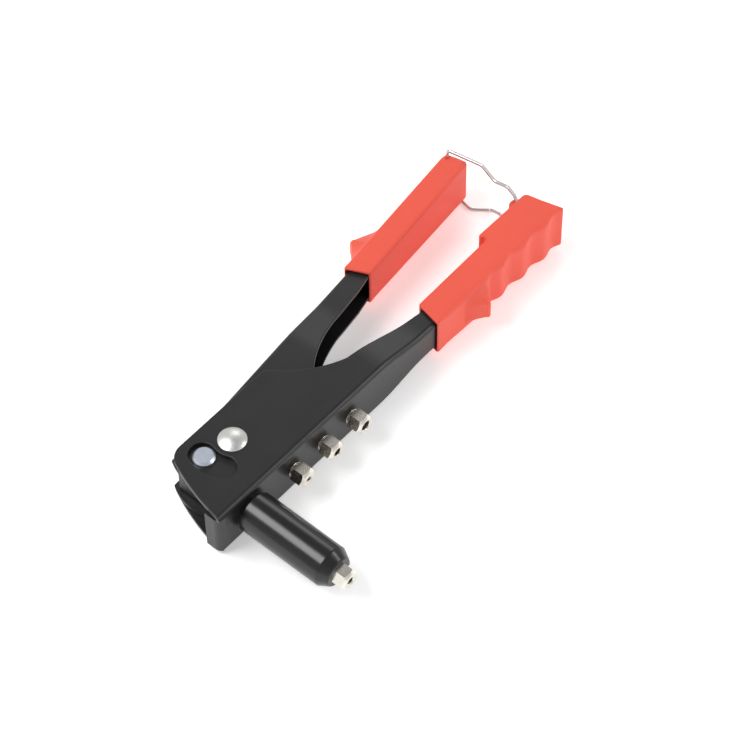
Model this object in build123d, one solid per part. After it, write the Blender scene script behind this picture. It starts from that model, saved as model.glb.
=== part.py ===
from build123d import *
from math import acos, asin, atan2, cos, degrees, hypot, pi, radians, sin, sqrt, tan
import os

# Hand riveter, closed and latched, lying on its side.
# It is drawn about the pivot: X runs along the handles, the nose points to -Y, the lever opens
# towards +Y, and Z is the pivot axis with the tool's middle plane at z = 0. Millimetres.

# ---- body channel: pressed steel, the fixed handle ----
BODY_WIDTH = 26.6            # over the side plates at the head
BODY_WALL = 2.0
BODY_HANDLE_WIDTH = 18.0     # over the side plates inside the grip
BODY_TAPER_START = 76.0      # where the plates begin to close in
BODY_TAPER_END = 98.0
BODY_WEB_Y = -24.4           # outer face of the web
BODY_TOE_X = -35.0           # outer face of the end flap
BODY_FLAP_HEIGHT = 9.0       # how far the flap stands up from the web
BODY_FLAP_GAP = 3.3          # daylight between the flap and the upper plate
BODY_BACK_Y = 15.5           # back edge of the plates at the head
BODY_SHOULDER_X = 37.5       # where the plates drop away towards the handle
BODY_SWEEP_X = 49.5          # a point on the hollow curve down to the handle
BODY_SWEEP_Y = 2.2
BODY_WAIST_X = 67.0          # where that curve ends
BODY_WAIST_RISE = 6.1        # above the plates' free edge at the handle
BODY_RIM_START_X = 110.0
BODY_HEEL_X = -18.0          # back edge's end at the head
BODY_RIM_Y = -14.3           # free edge of the plates at the handle
BODY_END_X = 196.0
BODY_BEND = 2.4              # outer bend radius, web to plates
BODY_TOE_BEND = 4.0
EDGE_ROUND = 0.4             # broken outer edges of both pressings
TAPER_BEND = 50.0            # bends where the side plates close in

# ---- pivot ----
PIVOT_DIAMETER = 8.0
PIVOT_HEAD_OVERHANG = 2.65   # head past the shank, all round
PIVOT_HEAD_HEIGHT = 2.6
PIVOT_TAIL_HEIGHT = 1.6
PIVOT_RIM = 0.5
PIVOT_BUSH_WALL = 1.5
RUNNING_FIT = 0.05           # radial play of a turning fit

# ---- pull pin and its kidney slot ----
PIN_DIAMETER = 10.5
PIN_RADIUS = 14.8            # from the pivot
PIN_REST_ANGLE = 165.1       # degrees from +X with the handles shut
PIN_CHAMFER = 1.0
PIN_PROUD = 0.3              # past the side plates
LEVER_OPENING = 36.0         # degrees
SLOT_PLAY = 1.0              # beside the pin
SLOT_SHIFT = 0.35            # slot's middle line outside the pin's circle
SLOT_LEAD = 4.7              # degrees of slot before the pin's rest
SLOT_TRAIL = 6.1             # and past its open place
CIRCLIP_THICKNESS = 0.8
CIRCLIP_RIM = 1.5
CIRCLIP_GROOVE = 0.5
CIRCLIP_GAP = 5.0

# ---- lever channel: pressed steel, the moving handle ----
LEVER_SIDE_GAP = 0.3         # to the body's side plates
LEVER_WALL = 1.7
LEVER_HANDLE_WIDTH = 17.4    # over the plates inside the grip
LEVER_TAPER_START = 62.0
LEVER_TAPER_END = 84.0
LEVER_SLOPE = 5.9            # degrees between the lever's web and X
LEVER_WEB_Y = 16.2           # outer face of the web, carried on to x = 0
LEVER_WEB_START = 9.0
LEVER_SHORTER = 12.0         # the lever ends this far before the body
LEVER_RIM_DEPTH = 9.4        # web to the free edge at the handle
LEVER_RIM_START_X = 116.0    # inside the grip
LEVER_TAIL_LAND = 13.2       # tail past the pin's circle
LEVER_TAIL_START = 148.0     # degrees, round the pivot
LEVER_WEB_GAP = 1.3          # tail to the body's web with the lever open
LEVER_CHEEK_X = -4.5         # where the cheek level with the web ends, lever open
LEVER_HEAD_RADIUS = 12.5
LEVER_BELLY_X = 30.0         # the free edge's hollow curve, from the head to the handle
LEVER_BELLY_DEPTH = 29.1
LEVER_SWEEP_X = 54.0
LEVER_SWEEP_DEPTH = 21.4
LEVER_WAIST_X = 70.0
LEVER_WAIST_DEPTH = 14.2
LEVER_THROAT_X = 88.0
LEVER_THROAT_DEPTH = 11.8
LEVER_NECK_X = 101.8
LEVER_NECK_DEPTH = 11.2
LEVER_BEND = 2.2

# ---- barrel ----
BARREL_SHIFT = 0.6           # barrel's axis outside the pin's circle
BARREL_DIAMETER = 20.0
BARREL_END_DIAMETER = 14.0
BARREL_BORE = 12.4
BARREL_THREAD_WALL = 1.6
BARREL_NECK_STEP = 0.7       # neck past the thread, all round
BARREL_NECK = 1.5
BARREL_CYLINDER = 46.2       # web to the start of the taper
BARREL_TAPER = 4.9
BARREL_FRONT_WALL = 9.0
BARREL_SHOULDER_ROUND = 1.6
RING_NUT_WALL = 1.15
RING_NUT_THICKNESS = 4.0
RING_NUT_SLOT = 3.0

# ---- nosepieces ----
NOSE_FLATS = 9.5
NOSE_FACE_STEP = 1.1         # flat round face inside the flats
NOSE_HEIGHT = 6.7
NOSE_BORE = 3.4
NOSE_THREAD = 7.0
NOSE_THREAD_LENGTH = 8.0
NOSE_TUBE_DIAMETER = 5.4
NOSE_TUBE = 4.5
SPARE_BORES = (2.5, 4.1, 5.0)
SPARE_FIRST_X = 12.8
SPARE_PITCH = 19.1
SPARE_NECK = 2.2             # shows between the web and the hexagon
SPARE_THREAD_LENGTH = 5.0    # behind the web

# ---- jaw train, sizes along the barrel ----
CASE_PLAY = 0.3              # radial, in the barrel's bore
CASE_WALL = 1.3
CASE_MOUTH = 6.2
CASE_LENGTH = 42.0
CASE_LIP = 0.6
CASE_CONE = 10.0
CASE_FRONT_PLAY = 0.6        # to the barrel's front wall, lever open
YOKE_SIDE_WALL = 2.25        # beside the pin, along X
YOKE_FRONT_WALL = 4.3
YOKE_BACK_WALL = 3.3
YOKE_PIN_PLAY = 0.15
YOKE_SLOT_SHIFT = 1.3        # the slot's round ends lie this far apart
YOKE_CLIP_PLAY = 0.1
YOKE_CORNER = 1.2
BOSS_PLAY = 0.2              # stands for the thread's depth, in the case
BOSS_GRIP = 9.0              # boss inside the case
BOSS_BORE = 5.0
LOCKNUT_THICKNESS = 3.2
LOCKNUT_WALL = 0.6           # between the boss and the flats
JAW_COUNT = 3
JAW_LENGTH = 9.6
JAW_BORE = 2.6
JAW_GAP = 0.4
JAW_PLAY = 0.1               # radial, to the cone
JAW_BACKOFF = 2.0            # how far the jaws slide back in the case as the lever opens
JAW_MOUTH_PLAY = 1.2         # jaw tips behind the case's mouth, handles shut
PUSHER_PLAY = 0.2            # radial, in the case
PUSHER_HEAD = 3.0
PUSHER_LENGTH = 9.0
PUSHER_STEM = 5.6
PUSHER_BORE = 3.6
SPRING_WIRE = 0.9
SPRING_PLAY = 0.35           # radial, in the case
SPRING_TURNS = 5
SPRING_END_PLAY = 0.1

# ---- vinyl grips ----
GRIP_START_WALL = 2.0        # vinyl over each steel side, head end
GRIP_END_WALL = 4.2          # and at the far end
GRIP_CAP = 3.9               # vinyl past the body's end
FIXED_GRIP_START_X = 109.5
FIXED_GRIP_START_LEAN = 3.0
FIXED_GRIP_WEB_WALL = 1.5    # over the web, head end
FIXED_GRIP_END_WEB_WALL = 3.8
FIXED_GRIP_INNER_WALL = 2.5
FIXED_GRIP_PALM_WALL = 6.7   # past the step
FIXED_GRIP_STEP_X = 160.2
FIXED_GRIP_STEP_UNDERCUT = 3.0
FIXED_GRIP_END_LEAN = 6.0
GUARD_START_X = 128.5
GUARD_PEAK_X = 138.4
GUARD_HEIGHT = 7.8           # past the web
GROOVE_FIRST_X = 147.0
GROOVE_PITCH = 15.5
GROOVE_COUNT = 4
GROOVE_DEPTH = 1.9
LEVER_GRIP_START_X = 106.5
LEVER_GRIP_CAP = 7.6         # vinyl past the lever's end
LEVER_GRIP_WALL = 1.5        # over the web
LEVER_GRIP_DEPTH = 12.4
LEVER_GRIP_START_LEAN = 5.5
LEVER_GRIP_END_LEAN = 1.2
LEVER_GRIP_CORNER = 1.8
THUMB_START_X = 114.5
THUMB_PEAK_X = 125.6
THUMB_END_X = 141.0
THUMB_HEIGHT = 9.6

# ---- latch bail ----
BAIL_WIRE = 1.8
BAIL_PIVOT_INSET = 7.4       # from the body's end
BAIL_PIVOT_RISE = 5.7        # from the plates' free edge
BAIL_HOLE_PLAY = 0.1
BAIL_EAR_RADIUS = 4.2
BAIL_EAR_COVER = 1.0         # vinyl round the steel ear
BAIL_EAR_WALL = 0.9          # vinyl over each side of the steel ear
BAIL_SWING = 84.0            # degrees
BAIL_EAR_GAP = 0.3           # wire to ear
BAIL_UNDER_GAP = 0.9         # wire to the moving grip's underside
BAIL_BAR_GAP = 0.5           # crossbar to the moving grip's end
BAIL_TIP = 3.0               # wire inside the ear
BAIL_POCKET_RADIUS = 5.8
BAIL_ANGLE = 42.0            # degrees from +X: where the crossbar meets the grip's corner
BAIL_ELBOW_X, BAIL_ELBOW_Y = 3.2, 4.6     # bends of the upper leg, from the pivot
BAIL_KNEE_X, BAIL_KNEE_Y = 5.2, 10.2
BAIL_CROOK_X, BAIL_CROOK_Y = 3.6, 16.9
BAIL_BOW_X, BAIL_BOW_Y = 7.4, 27.9
BAIL_LOW_KNEE_X, BAIL_LOW_KNEE_Y = 4.9, 14.1   # bends of the lower leg, from the pivot
BAIL_LOW_BOW_X, BAIL_LOW_BOW_Y = 6.8, 20.6
BAIL_LOW_CROOK_X, BAIL_LOW_CROOK_Y = 0.6, 28.6

# ---- sizes that follow ----
HALF = BODY_WIDTH / 2
HANDLE_HALF = BODY_HANDLE_WIDTH / 2
WEB_INNER = -BODY_WEB_Y - BODY_WALL
LEVER_HALF = HALF - BODY_WALL - LEVER_SIDE_GAP
LEVER_INNER_HALF = LEVER_HALF - LEVER_WALL
PIN_X = PIN_RADIUS * cos(radians(PIN_REST_ANGLE))
PIN_Y = PIN_RADIUS * sin(radians(PIN_REST_ANGLE))
PIN_OPEN_Y = PIN_RADIUS * sin(radians(PIN_REST_ANGLE + LEVER_OPENING))
STROKE = PIN_Y - PIN_OPEN_Y
SLOT_RADIUS = PIN_RADIUS + SLOT_SHIFT
SLOT_WIDTH = PIN_DIAMETER + 2 * SLOT_PLAY
LEVER_TAIL_RADIUS = PIN_RADIUS + LEVER_TAIL_LAND
LEVER_END_X = BODY_END_X - LEVER_SHORTER
PIVOT_BORE = PIVOT_DIAMETER + 2 * RUNNING_FIT
BARREL_X = -PIN_RADIUS - BARREL_SHIFT
BARREL_THREAD = BARREL_BORE + 2 * BARREL_THREAD_WALL
CASE_DIAMETER = BARREL_BORE - 2 * CASE_PLAY
CASE_BORE = CASE_DIAMETER - 2 * CASE_WALL
BOSS_DIAMETER = CASE_BORE - 2 * BOSS_PLAY
PUSHER_DIAMETER = CASE_BORE - 2 * PUSHER_PLAY
SPRING_DIAMETER = CASE_BORE - 2 * SPRING_PLAY - SPRING_WIRE
CIRCLIP_Z = LEVER_INNER_HALF - 0.2 - CIRCLIP_THICKNESS / 2
YOKE_HEIGHT = 2 * (CIRCLIP_Z - CIRCLIP_THICKNESS / 2 - YOKE_CLIP_PLAY)
YOKE_WIDTH = PIN_DIAMETER + 2 * YOKE_PIN_PLAY + YOKE_SLOT_SHIFT + 2 * YOKE_SIDE_WALL
FIXED_GRIP_END_X = BODY_END_X + GRIP_CAP
GRIP_START_HALF = HANDLE_HALF + GRIP_START_WALL
GRIP_END_HALF = HANDLE_HALF + GRIP_END_WALL
FIXED_GRIP_INNER_Y = BODY_RIM_Y + FIXED_GRIP_INNER_WALL
FIXED_GRIP_PALM_Y = BODY_RIM_Y + FIXED_GRIP_PALM_WALL
LEVER_GRIP_END_X = LEVER_END_X + LEVER_GRIP_CAP
BAIL_PIVOT_X = BODY_END_X - BAIL_PIVOT_INSET
BAIL_PIVOT_Y = BODY_RIM_Y + BAIL_PIVOT_RISE
BAIL_HOLE = BAIL_WIRE / 2 + BAIL_HOLE_PLAY
BAIL_EAR_HALF = HANDLE_HALF + BAIL_EAR_WALL
STEEL_EAR_RADIUS = BAIL_EAR_RADIUS - BAIL_EAR_COVER


def polar(radius, angle):
    """A point round the pivot; the angle is in degrees from +X."""
    return (radius * cos(radians(angle)), radius * sin(radians(angle)))


def plate(outline, half):
    """A closed wire in XY, extruded to z = -half .. +half."""
    return extrude(make_face(outline), amount=half, both=True)


def width_envelope(half_near, half_far, start, end, x_low, x_high, y_low, y_high, bend=0.0):
    """The space between two side faces that close in between start and end, over soft bends."""
    side = Polyline((x_low, half_near), (start, half_near), (end, half_far), (x_high, half_far),
                    (x_high, -half_far), (end, -half_far), (start, -half_near), (x_low, -half_near),
                    close=True)
    face = make_face(side)
    if bend > 0:
        face = fillet(face.vertices().filter_by(lambda v: start - 1 < v.X < end + 1), bend)
    section = Plane(origin=(0, y_low, 0), x_dir=(1, 0, 0), z_dir=(0, -1, 0))
    return extrude(section * face, amount=y_low - y_high)


def along_barrel(profile):
    """Turn a profile of (radius, distance ahead of the pivot) about the barrel's axis."""
    axis = Axis((BARREL_X, 0, 0), (0, 1, 0))
    points = [(BARREL_X + r, -v) for r, v in profile]
    return revolve(make_face(Polyline(*points, close=True)), axis)


# ---- body channel ----

def body_outline(inset=0.0):
    """Side view of the body; inset moves the web's side in by one wall."""
    web = BODY_WEB_Y + inset
    toe = BODY_TOE_X + inset
    back = BODY_BACK_Y
    rim_start = (BODY_RIM_START_X, BODY_RIM_Y)
    waist = (BODY_WAIST_X, BODY_RIM_Y + BODY_WAIST_RISE)
    sweep = (BODY_SWEEP_X, BODY_SWEEP_Y)
    shoulder_low = (BODY_SHOULDER_X + 1.6, back - 1.8)
    shoulder_high = (BODY_SHOULDER_X - 1.9, back)
    heel = (BODY_HEEL_X, back)
    nape = (BODY_HEEL_X - 7.4, back - 4.8)
    front = ((BODY_HEEL_X + BODY_TOE_X) / 2 - 4.5, -5)
    return (Line((toe, web), (BODY_END_X, web))
            + Line((BODY_END_X, web), (BODY_END_X, BODY_RIM_Y))
            + Line((BODY_END_X, BODY_RIM_Y), rim_start)
            + Line(rim_start, waist) + ThreePointArc(waist, sweep, shoulder_low)
            + ThreePointArc(shoulder_low, (BODY_SHOULDER_X, back - 0.5), shoulder_high)
            + Line(shoulder_high, heel)
            + ThreePointArc(heel, (BODY_HEEL_X - 4.6, back - 1.6), nape)
            + ThreePointArc(nape, front, (toe, web)))


def kidney_slot():
    """The arc-shaped slot round the pivot that the pull pin moves in."""
    inner, outer = SLOT_RADIUS - SLOT_WIDTH / 2, SLOT_RADIUS + SLOT_WIDTH / 2
    a, b = PIN_REST_ANGLE - SLOT_LEAD, PIN_REST_ANGLE + LEVER_OPENING + SLOT_TRAIL
    middle = (a + b) / 2
    end_turn = degrees(SLOT_WIDTH / 2 / SLOT_RADIUS)
    return (ThreePointArc(polar(outer, a), polar(outer, middle), polar(outer, b))
            + ThreePointArc(polar(outer, b), polar(SLOT_RADIUS, b + end_turn), polar(inner, b))
            + ThreePointArc(polar(inner, b), polar(inner, middle), polar(inner, a))
            + ThreePointArc(polar(inner, a), polar(SLOT_RADIUS, a - end_turn), polar(outer, a)))


def body_channel():
    envelope = width_envelope(HALF, HANDLE_HALF, BODY_TAPER_START, BODY_TAPER_END,
                              BODY_TOE_X - 1, BODY_END_X + 1, -60, 60, TAPER_BEND)
    cavity = width_envelope(HALF - BODY_WALL, HANDLE_HALF - BODY_WALL,
                            BODY_TAPER_START, BODY_TAPER_END,
                            BODY_TOE_X - 1, BODY_END_X + 1, BODY_WEB_Y + BODY_WALL, 60, TAPER_BEND)
    shell = plate(body_outline(), HALF) & envelope
    web_edges = shell.edges().filter_by(lambda e: e.length > 40).filter_by(
        lambda e: abs(e.center().Y - BODY_WEB_Y) < 0.1)
    shell = fillet(web_edges, BODY_BEND)
    shell = fillet(shell.edges().filter_by(on_plate_rim), EDGE_ROUND)
    shell = shell + steel_ear() - cavity
    flap_top = HALF - BODY_FLAP_GAP
    flap = Pos(BODY_TOE_X + BODY_WALL / 2, BODY_WEB_Y + BODY_FLAP_HEIGHT / 2,
               (flap_top - HALF) / 2) * Box(BODY_WALL, BODY_FLAP_HEIGHT, flap_top + HALF)
    shell = shell + flap
    round_toe = Pos(BODY_TOE_X, BODY_WEB_Y) * Box(2 * BODY_TOE_BEND, 2 * BODY_TOE_BEND, BODY_WIDTH)
    round_toe -= Pos(BODY_TOE_X + BODY_TOE_BEND, BODY_WEB_Y + BODY_TOE_BEND) * Cylinder(
        BODY_TOE_BEND, BODY_WIDTH)
    shell -= Pos(0, 0, flap_top - HALF) * round_toe
    shell -= plate(kidney_slot(), HALF + 1)
    shell = fillet(shell.edges().filter_by(on_slot_rim), EDGE_ROUND)
    shell -= Cylinder(PIVOT_DIAMETER / 2, BODY_WIDTH + 2)
    shell -= Pos(BAIL_PIVOT_X, BAIL_PIVOT_Y) * Cylinder(BAIL_HOLE, BODY_WIDTH)
    web_y = BODY_WEB_Y + BODY_WALL / 2
    drill = Rot(90, 0, 0) * Cylinder(BARREL_THREAD / 2, 2 * BODY_WALL)
    shell -= Pos(BARREL_X, web_y, 0) * drill
    for x in spare_places():
        shell -= Pos(x, web_y, 0) * Rot(90, 0, 0) * Cylinder(NOSE_THREAD / 2, 2 * BODY_WALL)
    return shell


def on_plate_rim(edge):
    """An outline edge of the pressed blank, on either side face and clear of the web."""
    middle = edge.center()
    return abs(middle.Z) > HANDLE_HALF - 0.1 and middle.Y > BODY_WEB_Y + BODY_BEND + 1


def on_slot_rim(edge):
    """An outer edge of the pull pin's slot."""
    middle = edge.center()
    reach = hypot(middle.X, middle.Y)
    near_slot = abs(reach - SLOT_RADIUS) < SLOT_WIDTH / 2 + 0.1 and middle.X < -PIVOT_DIAMETER
    return near_slot and abs(abs(middle.Z) - HALF) < 0.01


def steel_ear():
    """Rounded ear on the plates for the latch's wire, drawn across the full width."""
    ear = Pos(BAIL_PIVOT_X, BAIL_PIVOT_Y) * Cylinder(STEEL_EAR_RADIUS, BODY_HANDLE_WIDTH)
    neck_y = (BAIL_PIVOT_Y + BODY_RIM_Y) / 2
    neck = Pos(BAIL_PIVOT_X, neck_y) * Box(
        2 * STEEL_EAR_RADIUS, BAIL_PIVOT_Y - BODY_RIM_Y, BODY_HANDLE_WIDTH)
    return ear + neck


def spare_places():
    return [SPARE_FIRST_X + i * SPARE_PITCH for i in range(len(SPARE_BORES))]


# ---- lever channel ----

def lever_point(x, depth):
    """A point on the lever at rest: x along it, depth in from the web's outer face."""
    slope = tan(radians(LEVER_SLOPE))
    return (x, LEVER_WEB_Y + x * slope - depth)


def turned_shut(x, y):
    """Where a point of the open lever lies once it is shut."""
    return polar(hypot(x, y), degrees(atan2(y, x)) - LEVER_OPENING)


def lever_outline():
    """Side view of the lever at rest. Its cheek comes level with the body's web when it is open."""
    level = LEVER_WEB_GAP - WEB_INNER
    tail_x = -sqrt(LEVER_TAIL_RADIUS ** 2 - level ** 2)
    tail_low = turned_shut(tail_x, level)
    cheek = turned_shut(LEVER_CHEEK_X, level)
    tail_end = degrees(atan2(tail_low[1], tail_low[0])) % 360
    tail_top = polar(LEVER_TAIL_RADIUS, LEVER_TAIL_START)
    tail_mid = polar(LEVER_TAIL_RADIUS, (LEVER_TAIL_START + tail_end) / 2)
    head_low = polar(LEVER_HEAD_RADIUS, 275)
    rim_start = lever_point(LEVER_RIM_START_X, LEVER_RIM_DEPTH)
    rim_end = lever_point(LEVER_END_X, LEVER_RIM_DEPTH)
    web_start = lever_point(LEVER_WEB_START, 0)
    web_end = lever_point(LEVER_END_X, 0)
    neck = lever_point(LEVER_NECK_X, LEVER_NECK_DEPTH)
    throat = lever_point(LEVER_THROAT_X, LEVER_THROAT_DEPTH)
    waist = lever_point(LEVER_WAIST_X, LEVER_WAIST_DEPTH)
    sweep = lever_point(LEVER_SWEEP_X, LEVER_SWEEP_DEPTH)
    belly = lever_point(LEVER_BELLY_X, LEVER_BELLY_DEPTH)
    back = (BODY_HEEL_X - 1, BODY_BACK_Y - 0.3)
    return (Line(web_start, web_end) + Line(web_end, rim_end) + Line(rim_end, rim_start)
            + Line(rim_start, neck) + Line(neck, throat)
            + ThreePointArc(throat, waist, sweep) + ThreePointArc(sweep, belly, head_low)
            + Line(head_low, cheek) + Line(cheek, tail_low)
            + ThreePointArc(tail_low, tail_mid, tail_top)
            + Line(tail_top, back) + Line(back, web_start))


def lever_channel():
    near, far = LEVER_HALF, LEVER_HANDLE_WIDTH / 2
    x_low, x_high = -40, LEVER_END_X + 1
    taper = LEVER_TAPER_START, LEVER_TAPER_END
    envelope = width_envelope(near, far, *taper, x_low, x_high, -60, 60, TAPER_BEND)
    inside = width_envelope(near - LEVER_WALL, far - LEVER_WALL, *taper, x_low, x_high, -60, 60,
                            TAPER_BEND)
    shell = plate(lever_outline(), near) & envelope
    web_edges = shell.edges().filter_by(lambda e: e.length > 3).filter_by(on_lever_web)
    shell = fillet(web_edges, LEVER_BEND)
    shell = fillet(shell.edges().filter_by(on_lever_rim), EDGE_ROUND)
    under_web = Polyline((x_low, -60), (x_high, -60), lever_point(x_high, LEVER_WALL),
                         lever_point(LEVER_WEB_START, LEVER_WALL),
                         (LEVER_WEB_START, 60), (x_low, 60), close=True)
    shell -= inside & plate(under_web, near)
    shell -= Cylinder(PIVOT_BORE / 2, BODY_WIDTH)
    shell -= Pos(PIN_X, PIN_Y) * Cylinder(PIN_DIAMETER / 2, BODY_WIDTH)
    return shell


def on_lever_web(edge):
    middle = edge.center()
    return abs(middle.Y - lever_point(middle.X, 0)[1]) < 0.05


def on_lever_rim(edge):
    """An outline edge of the lever's blank, on either side face and clear of its web."""
    middle = edge.center()
    clear = lever_point(middle.X, 0)[1] - middle.Y > LEVER_BEND + 1 or middle.X < LEVER_WEB_START - 1
    return abs(middle.Z) > LEVER_HANDLE_WIDTH / 2 - 0.1 and clear


# ---- pivot and pull pin ----

def cap_arc(base, rise, z, side):
    """Profile of a slice of a ball, from the rim of the given radius to the axis."""
    ball = (base * base + rise * rise) / (2 * rise)
    half_turn = asin(base / ball) / 2
    middle = (ball * sin(half_turn), z + side * (rise - ball + ball * cos(half_turn)))
    return ThreePointArc((base, z), middle, (0, z + side * rise))


def pivot_rivet():
    """Shank with a domed head above and a flatter one formed below."""
    shank = PIVOT_DIAMETER / 2
    head = shank + PIVOT_HEAD_OVERHANG
    top_rim, low_rim = HALF + PIVOT_RIM, -HALF - PIVOT_RIM
    side = (cap_arc(head, PIVOT_HEAD_HEIGHT - PIVOT_RIM, top_rim, 1)
            + Line((0, HALF + PIVOT_HEAD_HEIGHT), (0, -HALF - PIVOT_TAIL_HEIGHT))
            + cap_arc(head, PIVOT_TAIL_HEIGHT - PIVOT_RIM, low_rim, -1)
            + Polyline((head, low_rim), (head, -HALF), (shank, -HALF),
                       (shank, HALF), (head, HALF), (head, top_rim)))
    return revolve(Plane.XZ * make_face(side), Axis.Z)


def pivot_bush():
    bush = Cylinder(PIVOT_BORE / 2 + PIVOT_BUSH_WALL, 2 * LEVER_INNER_HALF)
    return bush - Cylinder(PIVOT_BORE / 2, BODY_WIDTH)


def pull_pin():
    length = BODY_WIDTH + 2 * PIN_PROUD
    pin = Cylinder(PIN_DIAMETER / 2, length)
    pin = chamfer(pin.edges().filter_by(GeomType.CIRCLE), PIN_CHAMFER)
    for side in (-1, 1):
        groove = Cylinder(PIN_DIAMETER / 2 + 1, CIRCLIP_THICKNESS)
        groove -= Cylinder(PIN_DIAMETER / 2 - CIRCLIP_GROOVE, CIRCLIP_THICKNESS)
        pin -= Pos(0, 0, side * CIRCLIP_Z) * groove
    return Pos(PIN_X, PIN_Y) * pin


def pull_pin_circlips():
    rings = []
    for side in (-1, 1):
        ring = Cylinder(PIN_DIAMETER / 2 + CIRCLIP_RIM, CIRCLIP_THICKNESS)
        ring -= Cylinder(PIN_DIAMETER / 2 - CIRCLIP_GROOVE, CIRCLIP_THICKNESS)
        ring -= Pos(0, -PIN_DIAMETER / 2) * Box(CIRCLIP_GAP, PIN_DIAMETER, CIRCLIP_THICKNESS)
        rings.append(Pos(PIN_X, PIN_Y, side * CIRCLIP_Z) * ring)
    return Compound(rings)


# ---- barrel, ring nut and nosepieces ----

BARREL_FOOT = -BODY_WEB_Y
BARREL_END = BARREL_FOOT + BARREL_CYLINDER + BARREL_TAPER
BARREL_REAR = BARREL_FOOT - BODY_WALL - RING_NUT_THICKNESS
BORE_FRONT = BARREL_END - BARREL_FRONT_WALL


def barrel():
    outer, thread, bore = BARREL_DIAMETER / 2, BARREL_THREAD / 2, BARREL_BORE / 2
    neck = thread + BARREL_NECK_STEP
    hole = NOSE_THREAD / 2
    body = along_barrel([(bore, BARREL_REAR), (thread, BARREL_REAR), (thread, BARREL_FOOT),
                         (neck, BARREL_FOOT), (neck, BARREL_FOOT + BARREL_NECK),
                         (outer - 0.8, BARREL_FOOT + BARREL_NECK),
                         (outer, BARREL_FOOT + BARREL_NECK + 0.8),
                         (outer, BARREL_FOOT + BARREL_CYLINDER),
                         (BARREL_END_DIAMETER / 2 + 0.6, BARREL_END - 0.6),
                         (BARREL_END_DIAMETER / 2, BARREL_END),
                         (hole, BARREL_END), (hole, BORE_FRONT), (bore, BORE_FRONT)])
    shoulder = body.edges().filter_by(GeomType.CIRCLE).filter_by(
        lambda e: abs(e.center().Y + BARREL_FOOT + BARREL_CYLINDER) < 0.01 and e.radius > bore + 1)
    return fillet(shoulder, BARREL_SHOULDER_ROUND)


def barrel_ring_nut():
    rear = BARREL_REAR
    front = BARREL_FOOT - BODY_WALL
    outer = BARREL_THREAD / 2 + RING_NUT_WALL
    nut = along_barrel([(BARREL_THREAD / 2, rear), (outer - 0.5, rear), (outer, rear + 0.5),
                        (outer, front), (BARREL_THREAD / 2, front)])
    for side in (-1, 1):
        nut -= Pos(BARREL_X, -rear, side * outer) * Box(RING_NUT_SLOT, RING_NUT_THICKNESS, 1.4)
    return nut


def nosepiece(bore, neck, thread_length, tube):
    """Hexagon on its thread, drawn with its seat at z = 0 and its mouth towards +Z."""
    corner_radius = NOSE_FLATS / 2 / cos(pi / 6)
    hexagon = Pos(0, 0, neck) * extrude(RegularPolygon(corner_radius, 6), NOSE_HEIGHT)
    top = neck + NOSE_HEIGHT
    cone_top = NOSE_FLATS / 2 - NOSE_FACE_STEP
    cone_reach = corner_radius - cone_top
    bevel = revolve(Plane.XZ * make_face(Polyline(
        (0, neck), (corner_radius, neck), (corner_radius, top - 0.62 * cone_reach - 0.2),
        (cone_top + 0.3, top - 0.2), (cone_top, top), (0, top), close=True)), Axis.Z)
    body = hexagon & bevel
    stem = NOSE_THREAD / 2
    if neck > 0:
        body += Pos(0, 0, neck / 2) * Cylinder(stem, neck)
    body += Pos(0, 0, -thread_length / 2) * Cylinder(stem, thread_length)
    if tube > 0:
        body += Pos(0, 0, -thread_length - tube / 2) * Cone(
            NOSE_TUBE_DIAMETER / 2 - 0.5, NOSE_TUBE_DIAMETER / 2, tube)
    total = top + thread_length + tube
    body -= Pos(0, 0, top - total / 2) * Cylinder(bore / 2, total)
    return body - Pos(0, 0, top - 0.2) * Cone(bore / 2, bore / 2 + 0.4, 0.4)


def facing_nose(shape, x, ahead):
    return Pos(x, -ahead, 0) * Rot(90, 0, 0) * shape


def fitted_nosepiece():
    return facing_nose(nosepiece(NOSE_BORE, 0, NOSE_THREAD_LENGTH, NOSE_TUBE), BARREL_X, BARREL_END)


def spare_nosepiece(index):
    piece = nosepiece(SPARE_BORES[index], SPARE_NECK, SPARE_THREAD_LENGTH + BODY_WALL, 0)
    return facing_nose(piece, spare_places()[index], BARREL_FOOT)


# ---- jaw train: everything that the pin pulls, placed with the handles shut ----

CASE_FRONT = BORE_FRONT - CASE_FRONT_PLAY - STROKE
CASE_REAR = CASE_FRONT - CASE_LENGTH
JAW_TIP = CASE_FRONT - JAW_MOUTH_PLAY
JAW_TAIL = JAW_TIP - JAW_LENGTH
BOSS_FRONT = CASE_REAR + BOSS_GRIP
BOSS_REAR = -PIN_Y + PIN_DIAMETER / 2 + YOKE_PIN_PLAY + YOKE_FRONT_WALL
CONE_RATE = (CASE_BORE - CASE_MOUTH) / 2 / CASE_CONE


def jaw_case():
    outer, bore, mouth = CASE_DIAMETER / 2, CASE_BORE / 2, CASE_MOUTH / 2
    cone_start = CASE_FRONT - CASE_LIP
    thread = BOSS_DIAMETER / 2
    return along_barrel([(thread, CASE_REAR), (outer, CASE_REAR), (outer, CASE_FRONT - 0.8),
                         (outer - 0.8, CASE_FRONT), (mouth, CASE_FRONT), (mouth, cone_start),
                         (bore, cone_start - CASE_CONE), (bore, BOSS_FRONT), (thread, BOSS_FRONT)])


def jaw_radius(ahead):
    """Outer radius of the jaws where the case's cone leaves them their play."""
    back = CASE_FRONT - CASE_LIP - ahead
    return CASE_MOUTH / 2 + CONE_RATE * back - JAW_PLAY


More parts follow.
